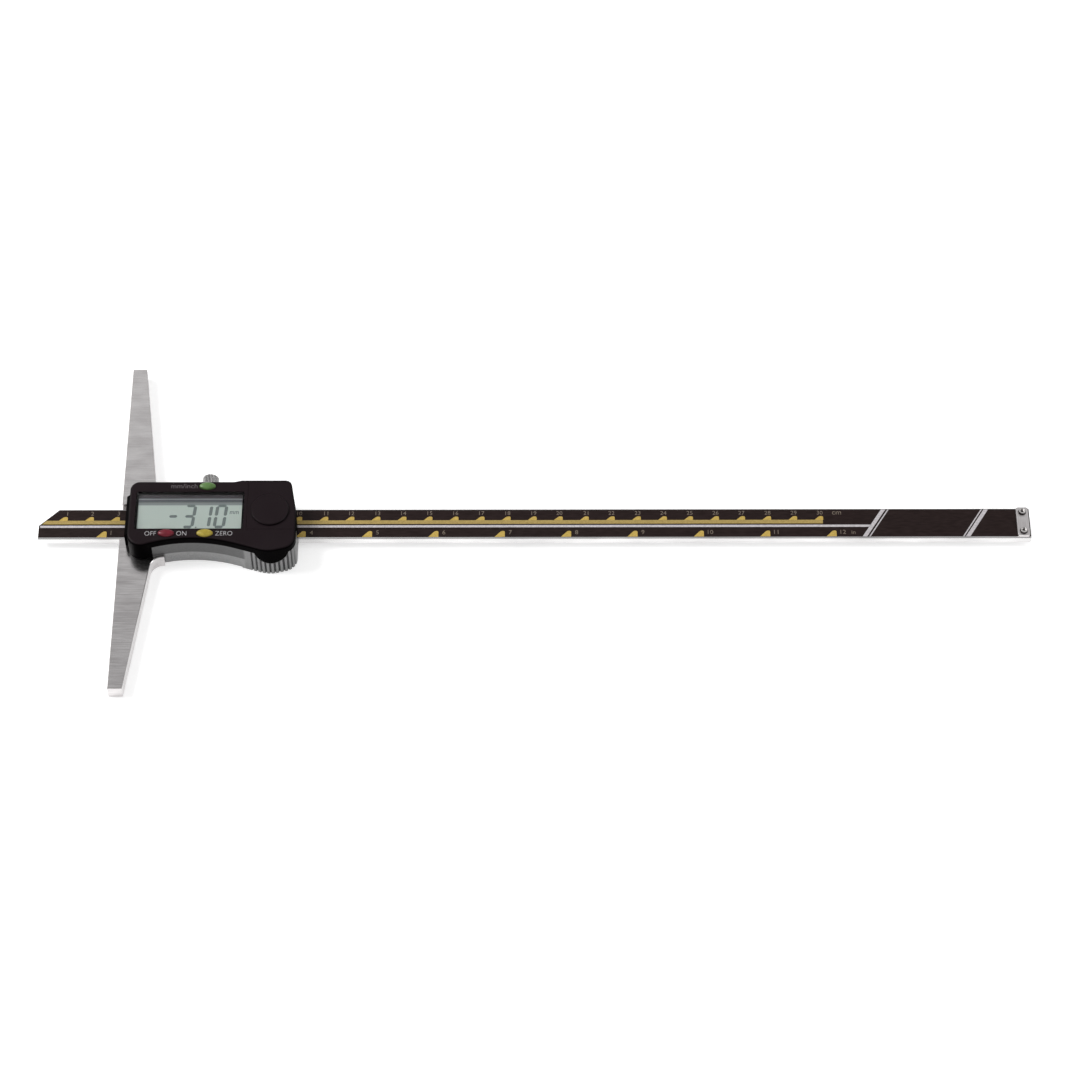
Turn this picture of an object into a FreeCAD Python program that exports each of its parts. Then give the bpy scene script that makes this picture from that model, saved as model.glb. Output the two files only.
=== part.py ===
import FreeCAD, Part
import math
import os

# Digital depth caliper, 0 to 300 mm, lying on its back with the display up, in millimetres.
# X runs along the beam, away from its measuring tip, and X = 0 is the measuring face of the base bar.
# Y = 0 is the middle of the beam, and Y points away from the finger rest.
# Z = 0 is the surface that the slider and the base bar lie on.

Vector = FreeCAD.Vector

# Beam: a flat stainless bar with a printed scale strip let into its face
beam_length = 380.0
beam_width = 14.0
beam_thickness = 3.5
beam_reach = 31.2
beam_edge_chamfer = 0.4
beam_tip_chamfer = 7.8
strip_width = 12.8
strip_thickness = 0.45
stop_plate_length = 4.6
stop_plate_inset = 0.5
stop_plate_thickness = 0.9
stop_plate_corner = 0.8
stop_screw_spacing = 8.8
stop_screw_radius = 0.9
stop_screw_head_radius = 1.6
stop_screw_head_height = 1.0
stop_screw_head_taper = 0.35
stop_screw_depth = 2.9
stop_screw_socket_radius = 0.85
stop_screw_socket_depth = 0.6

# Channel that guides the beam through the base bar and the slider frame
channel_floor = 2.3
beam_play = 0.05
lid_play = 0.1
ledge_overlap = 1.2
gib_thickness = 0.8
gib_edge_gap = 0.15
gib_space = 1.35
gib_recess = 4.2

# Base bar: two tapered arms in one with the root that carries the slider
base_length = 150.0
base_thickness = 6.0
base_end_width = 5.5
base_arm_width = 12.9
base_root_width = 31.4
base_root_length = 17.7
base_fillet = 5.0
base_edge_break = 0.2
base_screw_inset = 4.5
base_screw_radius = 1.25
base_screw_head_radius = 2.3
base_screw_length = 10.5

# Display window, and the strips of the cover that carry the buttons
window_left = 6.6
window_length = 41.3
window_near = -9.15
window_width = 17.45
window_corner = 0.8
window_ledge = 0.7
window_sink = 0.15
lens_thickness = 0.85
near_strip = 4.2
far_strip = 5.0

# Outline of the cover, seen from above
cover_left = 4.0
cover_right = 68.0
cover_height = 3.4
cover_wall = 1.2
cover_edge_radius = 0.9
far_corner_radius = 3.6
near_corner_radius = 5.8
near_corner_y = -18.6
rest_x = 28.0
rest_radius = 60.0
rest_rise = 2.9
lobe_x = 57.6
lobe_y = -19.7
lobe_radius = 12.0
right_corner_y = -17.0
right_corner_radius = 5.5
right_bend_y = -1.0
right_bend_radius = 20.0
door_shoulder = 0.7
shoulder_start_x = 43.6
shoulder_end_x = 46.6
shoulder_radius = 1.0
right_far_x = 65.5
right_far_radius = 2.6

# Lip of the cover that closes the slider's left end above the beam
lip_reach = 1.3
lip_overlap = 0.3
lip_near = -10.4
lip_far = 7.9
lip_gap = 0.3
lip_shoulder_height = 12.7
lip_top_height = 14.0

# Skirts of the cover: its wall reaches down over the frame at the near left corner and the right end
skirt_wall = 0.7
skirt_play = 0.1
skirt_lap = 0.5
left_skirt_end_x = 13.3
right_skirt_start_x = 62.0
right_skirt_near = -7.6

# Slider frame: a machined steel body under the cover
frame_left_inset = 0.6
frame_right_proud = 0.1
frame_far_inset = 0.1
frame_far_radius = 2.5
frame_root_gap = 0.05
web_thickness = 1.25
rest_step = 0.4
rest_step_end_x = 47.2
reader_window_left = 13.0
reader_window_right = 61.0

# Thumb rest: upright ribs on the frame's lobe, under a round tab of the cover
rib_pitch = 1.65
rib_groove_width = 0.9
rib_groove_depth = 0.75
rib_groove_overrun = 1.5
rib_start_x = 49.6
rib_end_y = -13.6
tab_radius = 6.5
tab_centre_x = 58.9
tab_depth = 5.2
tab_thickness = 1.2
tab_play = 0.1

# Back plate and its screws
plate_thickness = 1.5
plate_left_gap = 0.2
plate_right = 60.0
plate_near = -10.6
plate_far_margin = 0.8
plate_play = 0.05
plate_screw_inset = 2.6
plate_screw_radius = 0.9
plate_screw_head_radius = 1.7
plate_screw_length = 3.6

# Gib set screws and lock screw, all in the frame's far wall
set_screw_first_x = 26.0
set_screw_second_x = 52.0
set_screw_radius = 1.0
set_screw_end_inset = 0.5
set_screw_slot_width = 0.4
set_screw_slot_depth = 0.6
lock_screw_x = 33.4
lock_screw_radius = 1.25
lock_screw_tip_gap = 0.15
lock_collar_radius = 1.9
lock_collar_gap = 0.4
lock_collar_length = 1.2
lock_head_radius = 3.2
lock_head_length = 8.5
lock_head_chamfer = 0.8
knurl_count = 32
knurl_depth = 0.28

# Electronics
board_thickness = 1.0
board_left = 6.8
board_right = 65.2
board_neck_x = 15.4
board_neck_near = -8.6
board_neck_far = 8.0
board_key_end_x = 48.6
board_battery_near = -9.6
board_battery_far_x = 61.0
board_battery_far = 6.7
board_key_margin = 1.15
board_far_margin = 1.3
board_play = 0.15
reader_margin = 0.4
reader_thickness = 1.0
chip_radius = 3.0
chip_height = 0.9
chip_chamfer = 0.5
chip_x = 28.0
chip_y = -1.5
lcd_thickness = 1.6
lcd_overlap = 0.6
lcd_step = 2.0
zebra_length = 21.6
zebra_width = 1.7
zebra_inset = 0.15
post_radius = 1.0
post_first_x = 26.2
post_second_x = 45.8
post_far_inset = 0.3

# Buttons: oval caps with stems that press on domes on the board
button_length = 6.2
button_width = 3.3
oval_end_share = 0.28
button_play = 0.1
button_rim = 0.3
button_crown = 0.9
button_crown_steps = (0, 0.4, 0.75, 0.94)
button_travel = 0.6
button_flange_length = 7.6
button_flange_height = 0.8
button_flange_room = 0.2
button_stem_radius = 0.8
button_row_offset = 2.05
unit_button_offset = 2.5
on_off_button_x = 18.9
zero_button_x = 33.6
unit_button_x = 33.6
dome_radius = 0.95
dome_top_radius = 0.57
dome_height = 0.4
dome_gap = 0.05

# Battery, its contacts and its sliding door
battery_radius = 5.8
battery_height = 5.4
battery_step_radius = 4.9
battery_step_height = 0.5
battery_inset = 8.6
battery_y = -0.5
battery_headroom = 0.1
contact_rise = 0.7
contact_thickness = 0.2
contact_width = 2.0
contact_gap = 0.05
contact_leaf_start = 4.6
contact_leaf_bend = 2.0
contact_leaf_end = 1.7
contact_strip_reach = 4.3
well_play = 0.5
well_wall = 0.8
well_bottom_gap = 0.3
door_gap = 1.4
door_thickness = 1.0
door_floor_thickness = 0.7
door_play = 0.08
door_near = -9.25
door_far_margin = 1.2
door_tongue_width = 0.6
door_tongue_height = 0.45
door_bump_radius = 7.2
door_bump_height = 0.9
door_bump_edge = 0.35
door_bump_hollow = 0.5

# Cover screws, driven from below
cover_screw_radius = 0.85
cover_screw_head_radius = 1.5
cover_screw_head_height = 1.2
cover_screw_head_rise = 0.3
cover_screw_grip = 4.2
cover_screw_bite = 1.2
cover_boss_radius = 1.8
cover_screw_near_left = (9.5, -10.4)
cover_screw_far_left = (6.6, 10.1)
cover_screw_near_right = (63.0, -13.0)
cover_screw_far_right = (63.0, 10.4)

# Screws: room round shank and head, room past the tip, and the cross recess in shares of the head
screw_play = 0.05
screw_tip_room = 0.2
recess_reach = 0.6
recess_half_width = 0.14
recess_depth = 0.35

# How far a cut reaches past the metal, and how far posts and bosses reach into the roof
past = 1.0
root_lap = 0.1

# Heights that stack up from the beam to the top of the cover
beam_bottom = channel_floor + beam_play
beam_top = beam_bottom + beam_thickness
web_bottom = beam_top + lid_play
pocket_floor = web_bottom + web_thickness
board_top = pocket_floor + board_thickness
battery_bottom = board_top + contact_rise
battery_top = battery_bottom + battery_height
door_bottom = battery_top + battery_headroom
cover_top = door_bottom + door_thickness
ceiling = door_bottom - door_floor_thickness
frame_top = cover_top - cover_height
lens_bottom = cover_top - window_sink - lens_thickness
lcd_bottom = ceiling - lcd_thickness
lcd_middle = ceiling - lcd_thickness / 2
screw_axis_height = beam_bottom + beam_thickness / 2

# Places that follow from the sizes above
beam_half = beam_width / 2
beam_left = -beam_reach
beam_right = beam_left + beam_length
stop_plate_right = beam_right - stop_plate_inset
stop_plate_left = stop_plate_right - stop_plate_length
channel_near = -beam_half - beam_play
gib_near = beam_half + beam_play
gib_far = gib_near + gib_thickness
channel_far = gib_far + gib_space
window_right = window_left + window_length
window_far = window_near + window_width
lcd_left = window_left + window_ledge - lcd_overlap
lcd_right = window_right - window_ledge + lcd_overlap
lcd_near = window_near + window_ledge - lcd_overlap
lcd_far = window_far - window_ledge + lcd_overlap
cover_far = window_far + far_strip
door_left = window_right + door_gap
door_outline_far = cover_far + door_shoulder
door_far = door_outline_far - door_far_margin
battery_x = door_left + battery_inset
lip_left = cover_left - lip_reach
lip_right = cover_left + lip_overlap
lip_bottom = base_thickness + lip_gap
frame_left = cover_left + frame_left_inset
frame_right = cover_right + frame_right_proud
frame_far = cover_far - frame_far_inset
frame_lower_left = base_root_length + frame_root_gap
base_screw_x = base_root_length - base_screw_inset
rest_y = window_near - near_strip + rest_rise
board_near = window_near - near_strip + board_key_margin
board_far = frame_far - board_far_margin
near_buttons_y = window_near - button_row_offset
unit_button_y = window_far + unit_button_offset
plate_left = frame_lower_left + plate_left_gap
plate_far = frame_far - plate_far_margin
plate_bottom = channel_floor - plate_thickness
tab_centre_z = frame_top + tab_radius - tab_depth


def block(x0, x1, y0, y1, z0, z1):
    """Box between two corners."""
    return Part.makeBox(x1 - x0, y1 - y0, z1 - z0, Vector(x0, y0, z0))


def upright(x, y, radius, z0, z1):
    """Cylinder along Z."""
    return Part.makeCylinder(radius, z1 - z0, Vector(x, y, z0))


def along_y(x, z, radius, y0, y1):
    """Cylinder along Y."""
    return Part.makeCylinder(radius, y1 - y0, Vector(x, y0, z), Vector(0, 1, 0))


def upright_cone(x, y, radius0, radius1, z0, z1):
    """Cone along Z."""
    return Part.makeCone(radius0, radius1, z1 - z0, Vector(x, y, z0))


def joined(solids):
    """One solid from several that touch or overlap."""
    return solids[0].multiFuse(solids[1:]).removeSplitter()


def rounded_face(corners, height):
    """Flat face at one height, from (x, y, radius) corners, with a tangent arc at each corner."""
    count = len(corners)
    points = [Vector(x, y, height) for x, y, radius in corners]
    to_before = [(points[i - 1] - points[i]).normalize() for i in range(count)]
    to_after = [(points[(i + 1) % count] - points[i]).normalize() for i in range(count)]
    half_angles = [to_before[i].getAngle(to_after[i]) / 2 for i in range(count)]
    tangents = [corners[i][2] / math.tan(half_angles[i]) for i in range(count)]
    for i in range(count):
        after = (i + 1) % count
        side = (points[after] - points[i]).Length
        share = side / max(tangents[i] + tangents[after], 1e-9)
        if share < 1:
            tangents[i] *= share
            tangents[after] *= share
    edges = []
    for i in range(count):
        after = (i + 1) % count
        start = points[i] + to_before[i] * tangents[i]
        end = points[i] + to_after[i] * tangents[i]
        if tangents[i] > 1e-6:
            radius = tangents[i] * math.tan(half_angles[i])
            bisector = (to_before[i] + to_after[i]).normalize()
            middle = points[i] + bisector * (radius / math.sin(half_angles[i]) - radius)
            edges.append(Part.Arc(start, middle, end).toShape())
        next_start = points[after] + to_before[after] * tangents[after]
        if (next_start - end).Length > 1e-6:
            edges.append(Part.LineSegment(end, next_start).toShape())
    return Part.Face(Part.Wire(edges))


def raised(face, height):
    """Prism from a flat face upwards."""
    return face.extrude(Vector(0, 0, height))


def rounded_prism(x0, x1, y0, y1, radius, z0, z1):
    """Box with its upright edges rounded."""
    corners = [(x0, y1, radius), (x0, y0, radius), (x1, y0, radius), (x1, y1, radius)]
    return raised(rounded_face(corners, z0), z1 - z0)


def oval(x, y, length, width, z):
    """Wire of an oval at one height, its length along X, made of four tangent arcs."""
    end_radius = width * oval_end_share
    reach = length / 2 - end_radius
    half = width / 2
    side_radius = (reach ** 2 + half ** 2 - end_radius ** 2) / (2 * (half - end_radius))
    angle = math.atan2(side_radius - half, reach)
    join_x = reach + end_radius * math.cos(angle)
    join_y = end_radius * math.sin(angle)

    def arc(start, middle, end):
        points = [Vector(x + u, y + v, z) for u, v in (start, middle, end)]
        return Part.Arc(*points).toShape()

    return Part.Wire([
        arc((join_x, -join_y), (length / 2, 0), (join_x, join_y)),
        arc((join_x, join_y), (0, half), (-join_x, join_y)),
        arc((-join_x, join_y), (-length / 2, 0), (-join_x, -join_y)),
        arc((-join_x, -join_y), (0, -half), (join_x, -join_y)),
    ])


def oval_prism(x, y, length, width, z0, z1):
    """Prism with an oval outline, its length along X."""
    return raised(Part.Face(oval(x, y, length, width, z0)), z1 - z0)


def outer_edges_at(shape, height):
    """Edges of the flat face that lies highest at this height, along its outer wire."""
    faces = [f for f in shape.Faces if abs(f.BoundBox.ZMin - height) < 1e-6 and f.BoundBox.ZLength < 1e-6]
    return max(faces, key=lambda f: f.Area).OuterWire.Edges


def near_slope():
    """Slope of the line that runs from the cover's near left corner up to the finger rest."""
    return (rest_y - near_corner_y) / (rest_x - cover_left)


def near_corner(x):
    """Height in Y of that line at this X."""
    return rest_y - near_slope() * (rest_x - x)


def cover_corners():
    """Cover outline: far left corner first, then along the near side, the right end and the far side."""
    return [
        (cover_left, cover_far, far_corner_radius),
        (cover_left, near_corner_y, near_corner_radius),
        (rest_x, rest_y, rest_radius),
        (lobe_x, lobe_y, lobe_radius),
        (cover_right, right_corner_y, right_corner_radius),
        (cover_right, right_bend_y, right_bend_radius),
        (right_far_x, door_outline_far, right_far_radius),
        (shoulder_end_x, door_outline_far, shoulder_radius),
        (shoulder_start_x, cover_far, shoulder_radius),
    ]


def frame_corners():
    """Frame outline: it shares the finger rest and the thumb lobe with the cover."""
    return [
        (frame_left, frame_far, frame_far_radius),
        (frame_left, near_corner(frame_left), near_corner_radius),
        (rest_x, rest_y, rest_radius),
        (lobe_x, lobe_y, lobe_radius),
        (frame_right, right_corner_y, right_corner_radius),
        (frame_right, right_bend_y, right_bend_radius),
        (right_far_x + frame_right_proud, frame_far, frame_far_radius),
    ]


def board_corners(play):
    """Outline of the circuit board, or of the pocket round it when play is more than zero."""
    return [
        (board_left - play, board_neck_far + play, 0),
        (board_left - play, board_neck_near - play, 0),
        (board_neck_x - play, board_neck_near - play, 0),
        (board_neck_x - play, board_near - play, 0),
        (board_key_end_x + play, board_near - play, 0),
        (board_key_end_x + play, board_battery_near - play, 0),
        (board_right + play, board_battery_near - play, 0),
        (board_right + play, board_battery_far + play, 0),
        (board_battery_far_x + play, board_battery_far + play, 0),
        (board_battery_far_x + play, board_far + play, 0),
        (board_neck_x - play, board_far + play, 0),
        (board_neck_x - play, board_neck_far + play, 0),
    ]


def buttons():
    """Name and centre of each button."""
    return [
        ("on_off_button", on_off_button_x, near_buttons_y),
        ("zero_button", zero_button_x, near_buttons_y),
        ("unit_button", unit_button_x, unit_button_y),
    ]


def cover_screw_places():
    """Centre and head height of each cover screw: the left pair sits under the base bar."""
    head_height = base_thickness + cover_screw_head_rise
    return [
        (cover_screw_near_left, head_height),
        (cover_screw_far_left, head_height),
        (cover_screw_near_right, head_height),
        (cover_screw_far_right, head_height),
    ]


def base_screw_places():
    """Centres of the two screws that hold the frame on the base bar."""
    near_y = (channel_near - base_root_width / 2) / 2
    far_y = (channel_far + frame_far) / 2
    return [(base_screw_x, near_y), (base_screw_x, far_y)]


def plate_screw_places():
    """Centres of the back plate's four screws."""
    xs = (plate_left + plate_screw_inset, plate_right - plate_screw_inset)
    ys = ((plate_near + channel_near) / 2, (channel_far + plate_far) / 2)
    return [(x, y) for x in xs for y in ys]


def make_beam():
    """Beam with broken edges, one corner of its tip cut off and a recess for the scale strip."""
    bar = block(beam_left, beam_right, -beam_half, beam_half, beam_bottom, beam_top)
    long_edges = [e for e in bar.Edges if e.BoundBox.XLength > beam_length - 1]
    bar = bar.makeChamfer(beam_edge_chamfer, long_edges)
    bar = bar.cut(tip_corner(beam_bottom, beam_top))
    recess_floor = beam_top - strip_thickness
    recess = block(beam_left, beam_right, -strip_width / 2, strip_width / 2, recess_floor, beam_top)
    bar = bar.cut(recess)
    for x, y in stop_screw_places():
        bar = bar.cut(upright(x, y, stop_screw_radius + screw_play, beam_top - stop_screw_depth, beam_top))
    return bar


def tip_corner(z0, z1):
    """Prism that cuts the far corner off the beam's tip."""
    points = [
        Vector(beam_left, beam_half, z0),
        Vector(beam_left, beam_half - beam_tip_chamfer, z0),
        Vector(beam_left + beam_tip_chamfer, beam_half, z0),
        Vector(beam_left, beam_half, z0),
    ]
    return raised(Part.Face(Part.makePolygon(points)), z1 - z0)


def make_scale_strip():
    """Printed strip glued into the beam's recess, cut off with the tip, with holes for the screws."""
    strip_floor = beam_top - strip_thickness
    strip = block(beam_left, beam_right, -strip_width / 2, strip_width / 2, strip_floor, beam_top)
    strip = strip.cut(tip_corner(strip_floor, beam_top))
    for x, y in stop_screw_places():
        strip = strip.cut(upright(x, y, stop_screw_radius + screw_play, strip_floor, beam_top))
    return strip


def stop_screw_places():
    """Centres of the two screws in the stop plate."""
    x = (stop_plate_left + stop_plate_right) / 2
    return [(x, -stop_screw_spacing / 2), (x, stop_screw_spacing / 2)]


def make_stop_plate():
    """Small plate across the beam's end that keeps the slider on."""
    top = beam_top + stop_plate_thickness
    half = beam_half - beam_edge_chamfer
    corner = stop_plate_corner
    plate = rounded_prism(stop_plate_left, stop_plate_right, -half, half, corner, beam_top, top)
    for x, y in stop_screw_places():
        plate = plate.cut(upright(x, y, stop_screw_radius + screw_play, beam_top, top))
    return plate


def make_stop_screws():
    """Button-head socket screws through the stop plate into the beam."""
    seat = beam_top + stop_plate_thickness
    top = seat + stop_screw_head_height
    screws = []
    for x, y in stop_screw_places():
        shank = upright(x, y, stop_screw_radius, beam_top - stop_screw_depth + screw_play, seat)
        crown_radius = stop_screw_head_radius - stop_screw_head_taper
        head = upright_cone(x, y, stop_screw_head_radius, crown_radius, seat, top)
        socket = hexagon(x, y, stop_screw_socket_radius, top - stop_screw_socket_depth, top)
        screws.append(shank.fuse(head).cut(socket))
    return Part.makeCompound(screws)


def hexagon(x, y, radius, z0, z1):
    """Six-sided prism for a socket."""
    angles = [math.radians(60 * i) for i in range(7)]
    points = [Vector(x + radius * math.cos(a), y + radius * math.sin(a), z0) for a in angles]
    return raised(Part.Face(Part.makePolygon(points)), z1 - z0)


def make_base_bar():
    """Base bar: tapered arms, root block and an open channel for the beam and the gib."""
    end = base_length / 2
    root = base_root_width / 2
    corners = [
        (0, end, 0),
        (0, -end, 0),
        (base_end_width, -end, 0),
        (base_arm_width, -root, base_fillet),
        (base_root_length, -root, 0),
        (base_root_length, root, 0),
        (base_arm_width, root, base_fillet),
        (base_end_width, end, 0),
    ]
    bar = raised(rounded_face(corners, 0), base_thickness)
    bar = bar.makeChamfer(base_edge_break, outer_edges_at(bar, base_thickness) + outer_edges_at(bar, 0))
    bar = bar.cut(block(
            -past, base_root_length + past, channel_near, channel_far, channel_floor, base_thickness + past))
    for x, y in base_screw_places():
        bar = bar.cut(upright(x, y, base_screw_radius + screw_play, -past, base_thickness + past))
        bar = bar.cut(countersink(x, y, base_screw_radius, base_screw_head_radius, 0, screw_play))
    return bar


def countersink(x, y, shank_radius, head_radius, z0, play):
    """Cone of a countersunk head, opening downwards at z0, with play round it."""
    return upright_cone(x, y, head_radius + play, shank_radius + play, z0, z0 + head_radius - shank_radius)


def countersunk_screw(x, y, shank_radius, head_radius, z0, length):
    """Countersunk screw that points up from z0, with a cross recess."""
    screw = countersink(x, y, shank_radius, head_radius, z0, 0)
    screw = screw.fuse(upright(x, y, shank_radius, z0, z0 + length))
    return screw.cut(cross_recess(x, y, head_radius, z0))


def cross_recess(x, y, head_radius, z0):
    """Cross recess in a head that faces down at z0."""
    reach = head_radius * recess_reach
    half = head_radius * recess_half_width
    top = z0 + head_radius * recess_depth
    along = block(x - reach, x + reach, y - half, y + half, z0, top)
    return along.fuse(block(x - half, x + half, y - reach, y + reach, z0, top))


def make_base_screws():
    """Countersunk screws up through the base bar into the frame."""
    screws = []
    for x, y in base_screw_places():
        screws.append(countersunk_screw(
            x, y, base_screw_radius, base_screw_head_radius, 0, base_screw_length))
    return Part.makeCompound(screws)


def make_slider_frame():
    """Frame: an upper tray on the base bar's root, and a lower block that wraps the beam behind it."""
    outline = rounded_face(frame_corners(), 0)
    frame = raised(outline, frame_top)
    frame = frame.cut(block(-past, frame_lower_left, -base_length, base_length, -past, base_thickness))
    frame = frame.cut(finger_rest_step(outline))
    frame = frame.cut(block(-past, frame_right + past, channel_near, channel_far, channel_floor, web_bottom))
    frame = frame.cut(electronics_pocket())
    frame = frame.cut(back_plate_space(plate_play, -past))
    frame = frame.cut(thumb_tab(tab_play))
    frame = frame.cut(skirts(skirt_play))
    frame = frame.cut(thumb_grooves(outline))
    for x, y in base_screw_places():
        top = base_screw_length + screw_tip_room
        frame = frame.cut(upright(x, y, base_screw_radius + screw_play, 0, top))
    for (x, y), head in cover_screw_places():
        seat = head + cover_screw_head_height
        frame = frame.cut(upright(x, y, cover_screw_head_radius + screw_play, -past, seat))
        frame = frame.cut(upright(x, y, cover_screw_radius + screw_play, seat, frame_top + past))
    for x, y in plate_screw_places():
        top = plate_bottom + plate_screw_length + screw_tip_room
        frame = frame.cut(upright(x, y, plate_screw_radius + screw_play, 0, top))
    for x in (set_screw_first_x, set_screw_second_x):
        radius = set_screw_radius + screw_play
        frame = frame.cut(along_y(x, screw_axis_height, radius, channel_far - past, frame_far + past))
    radius = lock_screw_radius + screw_play
    return frame.cut(along_y(lock_screw_x, screw_axis_height, radius, channel_far - past, frame_far + past))


def finger_rest_step(outline):
    """Sliver that sets the lower half of the finger rest back from the upper half."""
    inner = outline.copy()
    inner.translate(Vector(0, rest_step, 0))
    ring = raised(outline, base_thickness).cut(raised(inner, base_thickness))
    return ring.common(block(-past, rest_step_end_x, -base_length, -beam_half, -past, base_thickness + past))


def electronics_pocket():
    """Tray for the board, and the window that lets the reader board down to the beam's face."""
    tray = raised(rounded_face(board_corners(board_play), pocket_floor), frame_top - pocket_floor + past)
    reader_half = beam_half - ledge_overlap
    bottom = web_bottom - past
    window = block(reader_window_left, reader_window_right, -reader_half, reader_half, bottom, pocket_floor)
    return tray.fuse(window)


def thumb_tab(play):
    """Round tab of the cover's near wall, which hangs over the top of the thumb rest."""
    outline = rounded_face(cover_corners(), 0)
    wall = raised(outline, frame_top + play)
    if play > 0:
        wall = raised(outline.makeOffset2D(past), frame_top + past)
    inner = outline.makeOffset2D(-tab_thickness - play)
    wall = wall.cut(raised(inner, frame_top + past))
    disc = along_y(tab_centre_x, tab_centre_z, tab_radius + play, lobe_y - 2 * past, 0)
    below_frame_top = block(0, cover_right, lobe_y - 2 * past, window_near - near_strip, 0, frame_top + play)
    return wall.common(disc).common(below_frame_top)


def skirts(play):
    """Lower parts of the cover's wall, or the room for them in the frame when play is more than zero."""
    bottom = web_bottom if play > 0 else lip_bottom
    outline = rounded_face(cover_corners(), bottom)
    outer = outline.makeOffset2D(past) if play > 0 else outline
    inner = outline.makeOffset2D(-skirt_wall - play)
    height = frame_top - bottom
    wall = raised(outer, height).cut(raised(inner, height))
    left_end = left_skirt_end_x + play
    left_far = lip_near + skirt_lap + play
    left = block(lip_left, left_end, lobe_y, left_far, bottom, frame_top)
    right_start = right_skirt_start_x - play
    right_near = right_skirt_near - play
    right_far = door_outline_far + past
    right = block(right_start, cover_right + past, right_near, right_far, bottom, frame_top)
    return wall.common(left.fuse(right))


def thumb_grooves(outline):
    """Upright grooves, evenly spaced along the lobe, that leave the ribs of the thumb rest."""
    room = block(rib_start_x, frame_right + past, lobe_y - past, rib_end_y, -past, past)
    edges = Part.__sortEdges__(outline.OuterWire.common(room).Edges)
    lobe = Part.Wire(edges)
    count = int(lobe.Length / rib_pitch) + 1
    points = lobe.discretize(Number=count)
    centre = Vector(lobe_x, 0, 0)
    grooves = []
    for before, here, after in zip(points, points[1:], points[2:]):
        side = (after - before).normalize() * (rib_groove_width / 2)
        out = Vector(side.y, -side.x, 0).normalize()
        if out.dot(here - centre) < 0:
            out = out * -1
        root = here - out * rib_groove_depth
        left = root + (out * rib_groove_depth - side) * rib_groove_overrun
        right = root + (out * rib_groove_depth + side) * rib_groove_overrun
        groove = Part.Face(Part.makePolygon([root, left, right, root]))
        groove.translate(Vector(0, 0, -past))
        grooves.append(groove.extrude(Vector(0, 0, frame_top + 2 * past)))
    return grooves[0].multiFuse(grooves[1:])


def back_plate_space(play, z0):
    """Room for the back plate in the frame's underside."""
    x0 = plate_left - play
    x1 = plate_right + play
    return block(x0, x1, plate_near - play, plate_far + play, z0, channel_floor)


def make_back_plate():
    """Flat plate that closes the channel under the beam."""
    plate = back_plate_space(0, plate_bottom)
    for x, y in plate_screw_places():
        plate = plate.cut(upright(x, y, plate_screw_radius + screw_play, plate_bottom, channel_floor))
        plate = plate.cut(
            countersink(x, y, plate_screw_radius, plate_screw_head_radius, plate_bottom, screw_play))
    return plate


def make_back_plate_screws():
    """Countersunk screws through the back plate into the frame."""
    screws = []
    for x, y in plate_screw_places():
        screws.append(countersunk_screw(
            x, y, plate_screw_radius, plate_screw_head_radius, plate_bottom, plate_screw_length))
    return Part.makeCompound(screws)


def make_gib():
    """Spring strip between the beam's far edge and the set screws."""
    z0 = beam_bottom + gib_edge_gap
    z1 = beam_top - gib_edge_gap
    return block(gib_recess, frame_right - gib_recess, gib_near, gib_far, z0, z1)


def make_gib_set_screws():
    """Headless screws that press the gib on the beam."""
    screws = []
    end = frame_far - set_screw_end_inset
    half = set_screw_slot_width / 2
    for x in (set_screw_first_x, set_screw_second_x):
        screw = along_y(x, screw_axis_height, set_screw_radius, gib_far, end)
        z0 = screw_axis_height - set_screw_radius
        z1 = screw_axis_height + set_screw_radius
        screws.append(screw.cut(block(x - half, x + half, end - set_screw_slot_depth, end, z0, z1)))
    return Part.makeCompound(screws)


def make_lock_screw():
    """Lock screw: shank to the gib, short collar and a knurled head."""
    x = lock_screw_x
    z = screw_axis_height
    collar_start = frame_far + lock_collar_gap
    head_start = collar_start + lock_collar_length
    head_end = head_start + lock_head_length
    shank = along_y(x, z, lock_screw_radius, gib_far + lock_screw_tip_gap, collar_start)
    collar = along_y(x, z, lock_collar_radius, collar_start, head_start)
    blank = along_y(x, z, lock_head_radius, head_start, head_end)
    rims = [e for e in blank.Edges if e.BoundBox.YLength < 1e-6]
    blank = blank.makeChamfer(lock_head_chamfer, rims)
    points = []
    for i in range(2 * knurl_count + 1):
        angle = math.pi * i / knurl_count
        radius = lock_head_radius - knurl_depth * (i % 2)
        points.append(Vector(x + radius * math.cos(angle), head_start, z + radius * math.sin(angle)))
    knurl = Part.Face(Part.makePolygon(points)).extrude(Vector(0, lock_head_length, 0))
    return joined([shank, collar, blank.common(knurl)])


def make_cover():
    """Moulded cover: shell with lip, skirts and thumb tab, window, door recess, well, posts and bosses."""
    outline = rounded_face(cover_corners(), frame_top)
    shell = raised(outline, cover_height)
    shell = shell.makeFillet(cover_edge_radius, outer_edges_at(shell, cover_top))
    cavity = raised(outline.makeOffset2D(-cover_wall), ceiling - frame_top)
    shell = shell.cut(cavity)
    additions = [shell, end_lip(), battery_well(), thumb_tab(0), skirts(0)]
    additions += cover_posts()
    for (x, y), head in cover_screw_places():
        additions.append(upright(x, y, cover_boss_radius, frame_top, ceiling + root_lap))
    shell = joined(additions)
    shell = shell.cut(window_opening())
    for name, x, y in buttons():
        shell = shell.cut(button_opening(x, y))
    shell = shell.cut(door_space(door_play, cover_top + past))
    shell = shell.cut(upright(battery_x, battery_y, battery_radius + well_play, board_top, door_bottom))
    for (x, y), head in cover_screw_places():
        top = frame_top + cover_screw_bite + screw_play
        shell = shell.cut(upright(x, y, cover_screw_radius + screw_play, frame_top, top))
    return shell


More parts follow.
